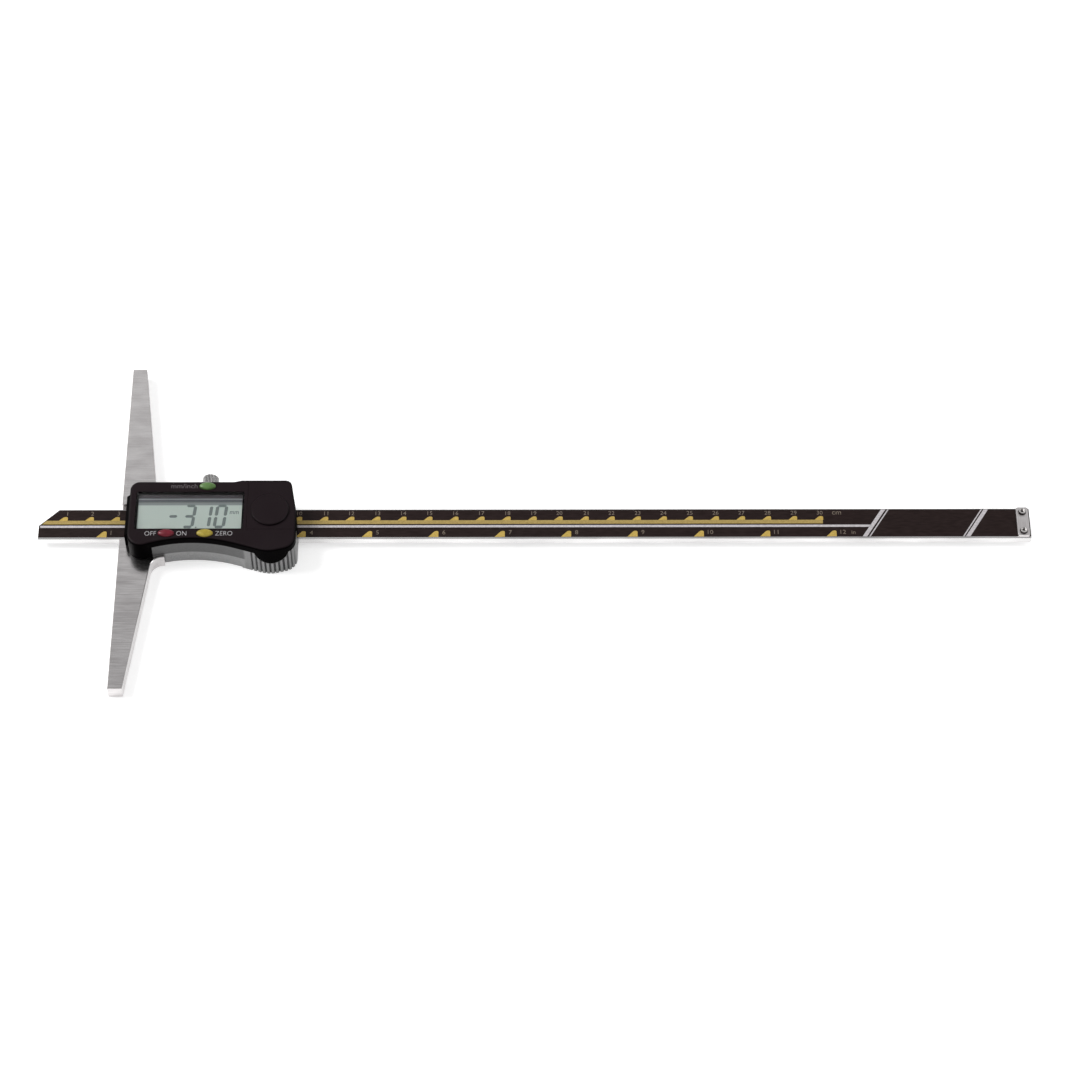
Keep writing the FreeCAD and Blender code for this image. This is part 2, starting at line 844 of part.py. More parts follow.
def end_lip():
    """Lip on the cover's left end: it reaches down to the base bar, over the beam."""
    points = [
        Vector(lip_left, lip_near, lip_bottom),
        Vector(lip_right, lip_near, lip_bottom),
        Vector(lip_right, lip_near, lip_top_height),
        Vector(cover_left, lip_near, lip_top_height),
        Vector(lip_left, lip_near, lip_shoulder_height),
        Vector(lip_left, lip_near, lip_bottom),
    ]
    return Part.Face(Part.makePolygon(points)).extrude(Vector(0, lip_far - lip_near, 0))


def battery_well():
    """Tube round the battery, down to the board."""
    radius = battery_radius + well_play + well_wall
    return upright(battery_x, battery_y, radius, board_top + well_bottom_gap, ceiling + root_lap)


def cover_posts():
    """Posts that hold the board down on the frame's tray."""
    posts = []
    for x in (post_first_x, post_second_x):
        for y in (near_buttons_y, unit_button_y - post_far_inset):
            posts.append(upright(x, y, post_radius, board_top, ceiling + root_lap))
    return posts


def window_opening():
    """Rebate for the lens, and the smaller opening over the display below it."""
    rebate = rounded_prism(
        window_left, window_right, window_near, window_far, window_corner, lens_bottom,
        cover_top + past)
    ledge = window_ledge
    view = block(
        window_left + ledge, window_right - ledge, window_near + ledge, window_far - ledge, frame_top,
        cover_top)
    return rebate.fuse(view)


def button_opening(x, y):
    """Oval hole in the cover's roof, with room for the button's flange below it."""
    length = button_length + 2 * button_play
    width = button_width + 2 * button_play
    hole = oval_prism(x, y, length, width, frame_top, cover_top + past)
    half_length = button_flange_length / 2 + button_flange_room
    half_width = button_width / 2 + button_flange_room
    room = block(x - half_length, x + half_length, y - half_width, y + half_width, frame_top, ceiling)
    return hole.fuse(room)


def door_space(play, top):
    """Room for the battery door: its plate and the two tongues beside it."""
    x0 = door_left - play
    x1 = cover_right + past
    bottom = door_bottom - play if play > 0 else door_bottom
    plate = block(x0, x1, door_near - play, door_far + play, bottom, top)
    tongue_top = door_bottom + door_tongue_height + play
    y0 = door_near - door_tongue_width - play
    y1 = door_far + door_tongue_width + play
    return plate.fuse(block(x0, x1, y0, y1, bottom, tongue_top))


def make_battery_door():
    """Door plate with a tongue on each side and a round bump over the battery."""
    top_face = rounded_face(cover_corners(), door_bottom)
    rim = raised(top_face, door_thickness)
    rim = rim.makeFillet(cover_edge_radius, outer_edges_at(rim, cover_top))
    door = rim.common(door_space(0, cover_top))
    bump_top = cover_top + door_bump_height
    bump = upright(battery_x, battery_y, door_bump_radius, door_bottom, bump_top)
    bump = bump.makeChamfer(door_bump_edge, outer_edges_at(bump, bump_top))
    hollow_top = bump_top - door_bump_edge - door_bump_hollow
    hollow = upright(battery_x, battery_y, battery_radius + well_play, door_bottom, hollow_top)
    return joined([door, bump]).cut(hollow)


def make_lens():
    """Clear window let into the cover."""
    play = button_play / 2
    return rounded_prism(
        window_left + play, window_right - play, window_near + play, window_far - play, window_corner,
        lens_bottom, lens_bottom + lens_thickness)


def make_lcd():
    """Display: two glass plates, the upper one wider for the contacts along both of its edges."""
    lower = block(lcd_left, lcd_right, lcd_near + lcd_step, lcd_far - lcd_step, lcd_bottom, lcd_middle)
    upper = block(lcd_left, lcd_right, lcd_near, lcd_far, lcd_middle, ceiling)
    return joined([lower, upper])


def make_zebra_connectors():
    """Two rubber connector strips between the board and the display's upper plate."""
    middle_x = (lcd_left + lcd_right) / 2
    x0 = middle_x - zebra_length / 2
    x1 = middle_x + zebra_length / 2
    near_y = lcd_near + zebra_inset
    far_y = lcd_far - zebra_inset
    near = block(x0, x1, near_y, near_y + zebra_width, board_top, lcd_middle)
    far = block(x0, x1, far_y - zebra_width, far_y, board_top, lcd_middle)
    return Part.makeCompound([near, far])


def make_main_board():
    """Main circuit board in the frame's tray."""
    return raised(rounded_face(board_corners(0), pocket_floor), board_thickness)


def make_reader_board():
    """Reader board that hangs under the main board, close to the scale strip."""
    half = beam_half - ledge_overlap - reader_margin
    return block(
        reader_window_left + reader_margin, reader_window_right - reader_margin, -half, half,
        pocket_floor - reader_thickness, pocket_floor)


def make_chip():
    """Round blob of resin over the measuring chip."""
    blob = upright(chip_x, chip_y, chip_radius, board_top, board_top + chip_height)
    return blob.makeChamfer(chip_chamfer, outer_edges_at(blob, board_top + chip_height))


def make_domes():
    """Snap domes on the board, one under each button."""
    domes = []
    for name, x, y in buttons():
        domes.append(upright_cone(x, y, dome_radius, dome_top_radius, board_top, board_top + dome_height))
    return Part.makeCompound(domes)


def make_button(x, y):
    """Button: oval cap with a crowned top, a flange under the cover's roof and a stem to the dome."""
    rim = cover_top + button_rim
    cap = oval_prism(x, y, button_length, button_width, ceiling - button_play, rim)
    rings = []
    for share in button_crown_steps:
        spread = math.cos(math.asin(share))
        height = rim + button_crown * share
        rings.append(oval(x, y, button_length * spread, button_width * spread, height))
    crown = Part.makeLoft(rings, True, True)
    flange_top = ceiling - button_play / 2
    flange_bottom = flange_top - button_flange_height
    flange = oval_prism(x, y, button_flange_length, button_width, flange_bottom, flange_top)
    stem_bottom = board_top + dome_height + dome_gap + button_travel
    stem = upright(x, y, button_stem_radius, stem_bottom, flange_bottom)
    return joined([crown, cap, flange, stem])


def make_battery():
    """Button cell: can with a smaller cap towards the board."""
    step = battery_bottom + battery_step_height
    can = upright(battery_x, battery_y, battery_radius, step, battery_top)
    cap = upright(battery_x, battery_y, battery_step_radius, battery_bottom, step)
    return joined([can, cap])


def make_battery_contacts():
    """Leaf under the battery, and an upright strip beside it with a foot on the board."""
    x = battery_x
    y0 = battery_y - contact_width / 2
    foot = board_top
    top = battery_bottom
    t = contact_thickness
    start = x - contact_leaf_start
    bend = x - contact_leaf_bend
    end = x + contact_leaf_end
    leaf_points = [
        Vector(start, y0, foot),
        Vector(bend, y0, foot),
        Vector(x, y0, top - t),
        Vector(end, y0, top - t),
        Vector(end, y0, top),
        Vector(x, y0, top),
        Vector(bend, y0, foot + t),
        Vector(start, y0, foot + t),
        Vector(start, y0, foot),
    ]
    leaf = Part.Face(Part.makePolygon(leaf_points)).extrude(Vector(0, contact_width, 0))
    side_x = x + battery_radius + contact_gap
    strip_top = battery_bottom + contact_strip_reach
    strip = block(side_x, side_x + t, y0, y0 + contact_width, foot, strip_top)
    strip_foot = block(side_x, side_x + well_play + well_wall, y0, y0 + contact_width, foot, foot + t)
    return Part.makeCompound([leaf, joined([strip, strip_foot])])


def make_cover_screws():
    """Pan-head screws up through the frame into the cover's bosses."""
    screws = []
    for (x, y), head in cover_screw_places():
        seat = head + cover_screw_head_height
        pan = upright(x, y, cover_screw_head_radius, head, seat)
        shank = upright(x, y, cover_screw_radius, seat, frame_top + cover_screw_bite)
        screws.append(joined([pan, shank]).cut(cross_recess(x, y, cover_screw_head_radius, head)))
    return Part.makeCompound(screws)


def make_parts():
    """Every piece of the caliper by name."""
    parts = {
        "beam": make_beam(),
        "scale_strip": make_scale_strip(),
        "stop_plate": make_stop_plate(),
        "stop_plate_screws": make_stop_screws(),
        "base_bar": make_base_bar(),
        "base_screws": make_base_screws(),
        "slider_frame": make_slider_frame(),
        "back_plate": make_back_plate(),
        "back_plate_screws": make_back_plate_screws(),
        "gib_strip": make_gib(),
        "gib_set_screws": make_gib_set_screws(),
        "lock_screw": make_lock_screw(),
        "cover": make_cover(),
        "cover_screws": make_cover_screws(),
        "display_lens": make_lens(),
        "lcd_panel": make_lcd(),
        "zebra_connectors": make_zebra_connectors(),
        "main_board": make_main_board(),
        "reader_board": make_reader_board(),
        "measuring_chip": make_chip(),
        "key_domes": make_domes(),
        "battery": make_battery(),
        "battery_contacts": make_battery_contacts(),
        "battery_door": make_battery_door(),
    }
    for name, x, y in buttons():
        parts[name] = make_button(x, y)
    return parts


os.makedirs("parts", exist_ok=True)
for node, shape in make_parts().items():
    shape.exportStep("parts/" + node + ".step")
    print(node, len(shape.Solids), "solids", round(shape.Volume, 2), "mm3", shape.isValid())
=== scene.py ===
import bmesh
import bpy
import math
from mathutils import Matrix, Vector


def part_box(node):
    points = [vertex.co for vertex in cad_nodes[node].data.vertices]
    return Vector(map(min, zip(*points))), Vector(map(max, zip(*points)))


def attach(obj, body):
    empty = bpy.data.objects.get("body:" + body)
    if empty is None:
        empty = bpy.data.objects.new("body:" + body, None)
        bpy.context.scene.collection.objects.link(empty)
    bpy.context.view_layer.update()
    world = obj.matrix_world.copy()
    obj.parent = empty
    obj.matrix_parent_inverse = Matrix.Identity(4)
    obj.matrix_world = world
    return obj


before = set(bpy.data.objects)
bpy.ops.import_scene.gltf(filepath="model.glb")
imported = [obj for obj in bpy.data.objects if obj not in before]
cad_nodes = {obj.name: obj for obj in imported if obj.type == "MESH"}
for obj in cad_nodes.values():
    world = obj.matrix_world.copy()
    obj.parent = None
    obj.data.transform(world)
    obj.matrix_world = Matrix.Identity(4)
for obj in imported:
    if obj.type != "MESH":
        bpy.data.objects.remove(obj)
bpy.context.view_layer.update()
bpy.ops.object.select_all(action="DESELECT")

# The picture. The gauge lies on its back on a plain pale floor. The camera looks down at it from its
# finger-rest side. A large soft lamp high on the left lights it, a smaller one on the right fills it in, and
# the far arm mirrors the edge of a dim card behind it.
mm = 0.001
camera_place = (158.19 * mm, -766.28 * mm, 1081.69 * mm)
camera_turn = (math.radians(35.3), math.radians(0.046), math.radians(-0.065))
camera_lens = 116.3
camera_film = 36
floor_width = 6
floor_place = (158 * mm, 0, -0.02 * mm)
floor_colour = (0.80, 0.80, 0.80, 1)
floor_glow = 0.46
sky_strength = 0.50
lamp_aim = Vector((100 * mm, 0, 0))
key_place = (-1000 * mm, 250 * mm, 1100 * mm)
key_size = 800 * mm
key_energy = 20
fill_place = (1100 * mm, -100 * mm, 800 * mm)
fill_size = 700 * mm
fill_energy = 4
card_place = (-170 * mm, 1110 * mm, 1000 * mm)
card_size = 650 * mm
card_energy = 0.36


def add_node(tree, kind, feeds=(), **settings):
    """Adds a shader node. Each feed is a socket with its value, or with the socket that it is joined to."""
    node = tree.nodes.new("ShaderNode" + kind)
    for name, value in settings.items():
        setattr(node, name, value)
    for socket, value in dict(feeds).items():
        if isinstance(value, bpy.types.NodeSocket):
            tree.links.new(value, node.inputs[socket])
        else:
            node.inputs[socket].default_value = value
    return node


def maths(tree, operation, *values):
    """The result of one step of arithmetic on numbers or sockets."""
    return add_node(tree, "Math", dict(enumerate(values)), operation=operation).outputs[0]


def soft_lamp(name, place, size, energy):
    """A square lamp that faces the middle of the gauge."""
    bpy.ops.object.light_add(type="AREA", location=place)
    lamp = bpy.context.object
    lamp.name = name
    lamp.data.size = size
    lamp.data.energy = energy
    lamp.rotation_euler = (lamp.location - lamp_aim).to_track_quat("Z", "Y").to_euler()


bpy.ops.object.camera_add(location=camera_place, rotation=camera_turn)
camera = bpy.context.object
camera.data.lens = camera_lens
camera.data.sensor_width = camera_film
bpy.context.scene.camera = camera
bpy.context.scene.view_settings.view_transform = "Standard"

soft_lamp("key_lamp", key_place, key_size, key_energy)
soft_lamp("fill_lamp", fill_place, fill_size, fill_energy)
soft_lamp("back_card", card_place, card_size, card_energy)

sky = bpy.data.worlds.new("studio_sky")
sky.use_nodes = True
sky.node_tree.nodes["Background"].inputs["Color"].default_value = (1, 1, 1, 1)
sky.node_tree.nodes["Background"].inputs["Strength"].default_value = sky_strength
bpy.context.scene.world = sky

bpy.ops.mesh.primitive_plane_add(size=floor_width, location=floor_place)
floor = bpy.context.object
floor.name = "floor"
floor_finish = bpy.data.materials.new("pale_floor")
floor_finish.use_nodes = True
tree = floor_finish.node_tree
tree.nodes.clear()
rays = add_node(tree, "LightPath")
seen = rays.outputs["Is Camera Ray"]
for ray in ("Is Glossy Ray", "Is Transmission Ray"):
    seen = maths(tree, "MAXIMUM", seen, rays.outputs[ray])
glow_level = maths(tree, "MULTIPLY", seen, floor_glow)
glow = add_node(tree, "Emission", {"Color": (1, 1, 1, 1), "Strength": glow_level})
lit = add_node(tree, "BsdfDiffuse", {"Color": floor_colour})
both = add_node(tree, "AddShader", {0: lit.outputs[0], 1: glow.outputs[0]})
add_node(tree, "OutputMaterial", {"Surface": both.outputs[0]})
floor.data.materials.append(floor_finish)


# The base bar: two tapered arms in one piece of hardened stainless steel, ground across and then lapped, so
# the light draws out in fine streaks along X and near pieces mirror in it.
arm_streak = (9 * mm, 0.16 * mm, 0.16 * mm)
arm_cloud = (14 * mm, 5 * mm, 6 * mm)
arm_dark = (0.54, 0.52, 0.52, 1)
arm_light = (0.70, 0.68, 0.68, 1)
arm_polish = (0.12, 0.22)
steel_streak_depth = 0.002 * mm
ground_edge = 0.12 * mm
streak_contrast = (0.40, 0.60)


def new_finish(name, **values):
    """A material with one shader. A value is set on the socket of its name, with spaces for underscores."""
    material = bpy.data.materials.new(name)
    material.use_nodes = True
    shader = material.node_tree.nodes["Principled BSDF"]
    for socket, value in values.items():
        shader.inputs[socket.replace("_", " ")].default_value = value
    return material, material.node_tree, shader


def drawn_noise(tree, spot, detail=3):
    """A noise pattern whose spots have this size along X, Y and Z."""
    place = add_node(tree, "TexCoord")
    scale = [1 / size for size in spot]
    drawn = add_node(tree, "Mapping", {"Vector": place.outputs["Object"], "Scale": scale})
    noise = add_node(tree, "TexNoise", {"Vector": drawn.outputs["Vector"], "Scale": 1, "Detail": detail})
    return noise.outputs["Fac"]


def banded(tree, pattern, stops):
    """A colour that follows the pattern through stops, each a level of the pattern and its colour."""
    ramp = add_node(tree, "ValToRGB", {"Fac": pattern})
    elements = ramp.color_ramp.elements
    while len(elements) < len(stops):
        elements.new(1)
    for element, (level, colour) in zip(elements, stops):
        element.position = level
        element.color = colour
    return ramp.outputs["Color"]


def shades(tree, pattern, dark, light, low=0.35, high=0.65):
    """A colour from dark to light where the pattern goes from low to high."""
    return banded(tree, pattern, ((low, dark), (high, light)))


def levels(tree, pattern, least, most, low=0.35, high=0.65):
    """A number from least to most where the pattern goes from low to high."""
    spread = {"Value": pattern, "From Min": low, "From Max": high, "To Min": least, "To Max": most}
    return add_node(tree, "MapRange", spread).outputs["Result"]


def relief(tree, shader, pattern, depth, edge=None):
    """Presses a pattern into the surface, with its sharp edges softened by the radius edge."""
    bump = add_node(tree, "Bump", {"Height": pattern, "Strength": 1, "Distance": depth})
    if edge:
        soft = add_node(tree, "Bevel", {"Radius": edge}, samples=4)
        tree.links.new(soft.outputs["Normal"], bump.inputs["Normal"])
    tree.links.new(bump.outputs["Normal"], shader.inputs["Normal"])


def ground_steel(name, streak, cloud, dark, light, polish):
    """Steel with grinding streaks that are long one way, and broad faint clouds from handling."""
    material, tree, shader = new_finish(name, Metallic=1)
    streaks = drawn_noise(tree, streak)
    clouds = drawn_noise(tree, cloud)
    mixed = maths(tree, "MULTIPLY", maths(tree, "ADD", streaks, clouds), 0.5)
    tree.links.new(shades(tree, mixed, dark, light, *streak_contrast), shader.inputs["Base Color"])
    tree.links.new(levels(tree, streaks, polish[0], polish[1]), shader.inputs["Roughness"])
    relief(tree, shader, streaks, steel_streak_depth, ground_edge)
    return material


def paint(material, *names):
    """Gives CAD nodes their finish."""
    for name in names:
        for place in cad_nodes[name].material_slots:
            place.material = material


paint(ground_steel("lapped_arm_steel", arm_streak, arm_cloud, arm_dark, arm_light, arm_polish), "base_bar")


# The slider frame: a satin steel body under the plastic cover, with the finger rest and the thumb rest cut
# in its near side. In the finger rest the part above the step is painted darker, as shade under the cover's
# overhang; everywhere else, and on the back plate, it is an even grey.
satin_spot = (0.22 * mm, 0.22 * mm, 0.22 * mm)
satin_dark = (0.20, 0.20, 0.20, 1)
satin_light = (0.32, 0.32, 0.32, 1)
rest_step = (6.0 * mm, 6.3 * mm)
rest_end = (48.0 * mm, 48.8 * mm)
rest_side = (-9.0 * mm, -8.0 * mm)
painted_rest_shade = (1, 0.42)
plain_shade = 0.78
satin_polish = (0.38, 0.50)
satin_depth = 0.008 * mm
satin_edge = 0.15 * mm


def object_place(tree):
    """The X, Y and Z of the place on the object, as sockets."""
    place = add_node(tree, "TexCoord")
    return add_node(tree, "SeparateXYZ", {"Vector": place.outputs["Object"]}).outputs


satin_steel, tree, shader = new_finish("blasted_satin_steel", Metallic=1)
blasting = drawn_noise(tree, satin_spot, 2)
parts = object_place(tree)
# Painted shade: the finger rest is darker above the step, as under the cover's overhang.
painted_step_shade = levels(tree, parts["Z"], *painted_rest_shade, *rest_step)
along = levels(tree, parts["X"], 1, 0, *rest_end)
beside = levels(tree, parts["Y"], 1, 0, *rest_side)
rest = maths(tree, "MULTIPLY", along, beside)
shade = add_node(tree, "Mix", {0: rest, 2: plain_shade, 3: painted_step_shade}).outputs[0]
steel = shades(tree, blasting, satin_dark, satin_light)
steel = add_node(tree, "VectorMath", {0: steel, "Scale": shade}, operation="SCALE")
tree.links.new(steel.outputs["Vector"], shader.inputs["Base Color"])
tree.links.new(levels(tree, blasting, satin_polish[0], satin_polish[1]), shader.inputs["Roughness"])
relief(tree, shader, blasting, satin_depth, satin_edge)
paint(satin_steel, "slider_frame", "back_plate")


# The beam: a flat bar of ground stainless steel, 380 mm long, with a pocket on its face for the printed
# strip. Only its rims and sides show. The stop plate at its far end is ground the same way.
beam_streak = (18 * mm, 0.10 * mm, 0.10 * mm)
beam_cloud = (20 * mm, 5 * mm, 5 * mm)
beam_dark = (0.60, 0.59, 0.59, 1)
beam_light = (0.80, 0.79, 0.79, 1)
beam_polish = (0.16, 0.28)
plate_streak = (0.12 * mm, 6 * mm, 0.12 * mm)
plate_dark = (0.66, 0.63, 0.63, 1)
plate_light = (0.88, 0.85, 0.85, 1)
plate_polish = (0.28, 0.42)

paint(ground_steel("ground_beam_steel", beam_streak, beam_cloud, beam_dark, beam_light, beam_polish), "beam")
plate_look = (plate_streak, beam_cloud, plate_dark, plate_light, plate_polish)
paint(ground_steel("ground_plate_steel", *plate_look), "stop_plate")


# The screws: small plated steel screws, turned and so a little uneven in tone and polish. The finish is
# brighter and warmer than the steel that they sit in, and the snap domes under the buttons have it too.
turned_spot = (0.30 * mm, 0.30 * mm, 0.30 * mm)
turned_dark = (0.40, 0.40, 0.39, 1)
turned_light = (0.66, 0.65, 0.63, 1)
turned_polish = (0.16, 0.30)
turned_depth = 0.004 * mm
turned_edge = 0.08 * mm
plated_nodes = ("base_screws", "back_plate_screws", "gib_set_screws", "cover_screws", "key_domes")


def turned(tree, shader):
    """Gives a finish the uneven polish and faint relief of turned steel. It returns their pattern."""
    turning = drawn_noise(tree, turned_spot, 2)
    tree.links.new(levels(tree, turning, *turned_polish), shader.inputs["Roughness"])
    relief(tree, shader, turning, turned_depth, turned_edge)
    return turning


plated_steel, tree, shader = new_finish("plated_screw_steel", Metallic=1)
turning = turned(tree, shader)
tree.links.new(shades(tree, turning, turned_dark, turned_light), shader.inputs["Base Color"])
paint(plated_steel, *plated_nodes)


# The stop plate's two screws: painted near black in their sockets and under their rims, as shade, with a
# bright ring of steel between. The pattern goes by the distance from each screw's axis.
plate_screws_low, plate_screws_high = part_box("stop_plate_screws")
plate_screw_radius = (plate_screws_high.x - plate_screws_low.x) / 2
plate_screw_x = plate_screws_low.x + plate_screw_radius
plate_screw_middle = (plate_screws_low.y + plate_screws_high.y) / 2
plate_screw_y = plate_screws_high.y - plate_screw_radius - plate_screw_middle
# Painted shade for the sockets and under the rims, and the bright ring of steel between.
painted_screw_shade = (0.035, 0.03, 0.03, 1)
bright_ring_steel = (0.80, 0.78, 0.77, 1)
painted_shade_rings = ((0.36, painted_screw_shade), (0.46, bright_ring_steel), (0.74, bright_ring_steel), (0.84, painted_screw_shade))

ringed_steel, tree, shader = new_finish("steel_with_painted_screw_shade", Metallic=1)
parts = object_place(tree)
along = maths(tree, "SUBTRACT", parts["X"], plate_screw_x)
aside = maths(tree, "ABSOLUTE", maths(tree, "SUBTRACT", parts["Y"], plate_screw_middle))
aside = maths(tree, "SUBTRACT", aside, plate_screw_y)
flat = add_node(tree, "CombineXYZ", {"X": along, "Y": aside})
distance = add_node(tree, "VectorMath", {0: flat.outputs["Vector"]}, operation="LENGTH").outputs["Value"]
share = levels(tree, distance, 0, 1, 0, plate_screw_radius)
tree.links.new(banded(tree, share, painted_shade_rings), shader.inputs["Base Color"])
turned(tree, shader)
paint(ringed_steel, "stop_plate_screws")


# The lock screw: the same plated steel, with 32 knurls cut along its head, painted darker in their grooves
# as shade and lighter on their ridges as highlight. The pattern goes round the screw's own axis and meets
# the knurls of the solid.
knurls = 32
painted_groove_shade = (0.10, 0.10, 0.10, 1)
painted_ridge_highlight = (0.86, 0.85, 0.84, 1)
lock_low, lock_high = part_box("lock_screw")
lock_axis = (lock_low + lock_high) / 2

knurled_steel, tree, shader = new_finish("knurled_lock_steel", Metallic=1)
parts = object_place(tree)
beside = maths(tree, "SUBTRACT", parts["X"], lock_axis.x)
above = maths(tree, "SUBTRACT", parts["Z"], lock_axis.z)
angle = maths(tree, "ARCTAN2", above, beside)
waves = maths(tree, "COSINE", maths(tree, "MULTIPLY", angle, knurls))
# Painted shade in the grooves and painted highlight on the ridges.
painted_knurl_shading = shades(tree, levels(tree, waves, 0, 1, -1, 1), painted_groove_shade, painted_ridge_highlight)
tree.links.new(painted_knurl_shading, shader.inputs["Base Color"])
turned(tree, shader)
paint(knurled_steel, "lock_screw")


# The scale strip: a thin satin black laminate bonded into the beam's face. The reading head in the slider
# works through it, and the scale is printed on it.
strip_spot = (3 * mm, 0.5 * mm, 0.5 * mm)
strip_dark = (0.011, 0.0055, 0.0050, 1)
strip_light = (0.018, 0.0100, 0.0095, 1)
strip_polish = (0.36, 0.48)
strip_depth = 0.003 * mm

strip_finish, tree, shader = new_finish("black_scale_laminate", Specular_IOR_Level=0.14)
weave = drawn_noise(tree, strip_spot)
tree.links.new(shades(tree, weave, strip_dark, strip_light), shader.inputs["Base Color"])
tree.links.new(levels(tree, weave, strip_polish[0], strip_polish[1]), shader.inputs["Roughness"])
relief(tree, shader, weave, strip_depth)
paint(strip_finish, "scale_strip")


# The lines of the scale: a silver line along the strip's middle and a gold band beside it, both screen
# printed. The band ends at the tip's cut-off corner and both stop short of the far end.
ink_thickness = 0.02 * mm
strip_low, strip_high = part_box("scale_strip")
strip_top = strip_high.z
tip_end = strip_low.x
zero_mark = -30.4 * mm
silver_line = (-1.85 * mm, -0.80 * mm)
silver_line_end = 287.8 * mm
gold_band = (-0.20 * mm, 1.50 * mm)
gold_band_end = 269.4 * mm
print_margin = 0.45 * mm
tip_corner_cut = 7.8 * mm
silver_colour = ((0.36, 0.34, 0.35, 1), (0.56, 0.53, 0.55, 1))
gold_colour = ((0.28, 0.20, 0.060, 1), (0.40, 0.29, 0.095, 1))
fin_colour = ((0.38, 0.26, 0.055, 1), (0.53, 0.37, 0.09, 1))
figure_colour = ((0.12, 0.093, 0.074, 1), (0.20, 0.165, 0.13, 1))
ink_spot = (0.5 * mm, 0.25 * mm, 0.25 * mm)
ink_polish = 0.5


def ink(name, colours):
    """Screen printed ink, a little uneven in its cover."""
    material, tree, shader = new_finish(name, Roughness=ink_polish, Specular_IOR_Level=0.3)
    cover = drawn_noise(tree, ink_spot)
    tree.links.new(shades(tree, cover, colours[0], colours[1]), shader.inputs["Base Color"])
    return material


def rectangle(name, left, right, near, far, height):
    """A flat rectangle at its place, left in edit mode with all of it selected."""
    bpy.ops.mesh.primitive_plane_add(size=1)
    piece = bpy.context.object
    piece.name = name
    piece.data.name = name
    bpy.ops.object.mode_set(mode="EDIT")
    bpy.ops.mesh.select_all(action="SELECT")
    bpy.ops.transform.resize(value=(right - left, far - near, 1), center_override=(0, 0, 0))
    bpy.ops.transform.translate(value=((left + right) / 2, (near + far) / 2, height))
    return piece


def cut_away(point, outwards):
    """Cuts a shape in edit mode straight through at a point and drops what lies outwards of the cut."""
    bpy.ops.mesh.select_all(action="SELECT")
    bpy.ops.mesh.bisect(plane_co=point, plane_no=outwards, clear_outer=True, threshold=1e-7)


def thicken(depth):
    """Makes a flat shape in edit mode into a closed solid of this depth, and leaves edit mode."""
    bpy.ops.mesh.select_all(action="SELECT")
    bpy.ops.mesh.extrude_region_move(TRANSFORM_OT_translate={"value": (0, 0, depth)})
    bpy.ops.mesh.select_all(action="SELECT")
    bpy.ops.mesh.normals_make_consistent(inside=False)
    bpy.ops.object.mode_set(mode="OBJECT")


def finished(piece, material, body):
    """Gives a new piece its finish and the body that it rides on."""
    piece.data.materials.clear()
    piece.data.materials.append(material)
    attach(piece, body)
    piece.select_set(False)


silver_ink = ink("silver_ink", silver_colour)
gold_ink = ink("gold_ink", gold_colour)
stripe_lean = (14.8 * mm, 24.4 * mm)
lean_outwards = (stripe_lean[1], -stripe_lean[0], 0)
silver_end_cut = 0.6 * mm

line = rectangle("scale_centre_line", tip_end + print_margin, silver_line_end, *silver_line, strip_top)
cut_away((silver_line_end - silver_end_cut, silver_line[0], strip_top), lean_outwards)
thicken(ink_thickness)
finished(line, silver_ink, "sliding_beam")

beam_low, beam_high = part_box("beam")
band = rectangle("scale_band", tip_end, gold_band_end, *gold_band, strip_top)
cut_away((beam_low.x + tip_corner_cut + print_margin, beam_high.y, strip_top), (-1, 1, 0))
thicken(ink_thickness)
finished(band, gold_ink, "sliding_beam")


# The marks of the scale: a gold fin at each centimetre on the band and at each inch on the strip's near
# edge. A fin slopes up on its left, is rounded on top, and its upright right edge is the mark itself.
centimetre = 10 * mm
inch = 25.4 * mm
last_centimetre = 30
last_inch = 12
fin_rounding = 0.55 * mm
fin_overlap = 0.02 * mm
fin_margin = 0.10 * mm
top_tolerance = 0.01 * mm
centimetre_fin = {"width": 3.4 * mm, "low": gold_band[1] - fin_overlap, "rise": 1.75 * mm, "top": 1.5 * mm}
inch_fin = {"width": 3.9 * mm, "low": strip_low.y + fin_margin, "rise": 2.75 * mm, "top": 1.35 * mm}
fin_ink = ink("fin_ink", fin_colour)


def row_of_fins(name, fin, pitch, count):
    """One fin at the first mark, shaped and copied to the others."""
    mark = zero_mark + pitch
    high = fin["low"] + fin["rise"]
    piece = rectangle(name, mark - fin["width"], mark, fin["low"], high, strip_top)
    slope = (-fin["rise"], fin["width"] - fin["top"], 0)
    cut_away((mark - fin["width"], fin["low"], strip_top), slope)
    shape = bmesh.from_edit_mesh(piece.data)
    for corner in shape.verts:
        corner.select = corner.co.y > high - top_tolerance
    shape.select_flush_mode()
    bmesh.update_edit_mesh(piece.data)
    bpy.ops.mesh.bevel(offset=fin_rounding, segments=4, affect="VERTICES")
    thicken(ink_thickness)
    copies = piece.modifiers.new("marks", "ARRAY")
    copies.use_relative_offset = False
    copies.use_constant_offset = True
    copies.constant_offset_displace = (pitch, 0, 0)
    copies.count = count
    bpy.ops.object.modifier_apply(modifier=copies.name)
    finished(piece, fin_ink, "sliding_beam")


row_of_fins("centimetre_fins", centimetre_fin, centimetre, last_centimetre)
row_of_fins("inch_fins", inch_fin, inch, last_inch)


# The figures of the scale: centimetres above their fins, ending at the mark, and inches to the right of
# theirs, in thin beige strokes. The units stand after the last of each.
centimetre_figure = {"height": 1.75 * mm, "near": 3.95 * mm, "gap": 0.10 * mm, "unit_gap": 3.5 * mm}
inch_figure = {"height": 1.90 * mm, "near": -5.15 * mm, "gap": -1.50 * mm, "unit_gap": 5.75 * mm}
unit_share = 0.84
letter_thickness = 0.03 * mm
figure_ink = ink("figure_ink", figure_colour)


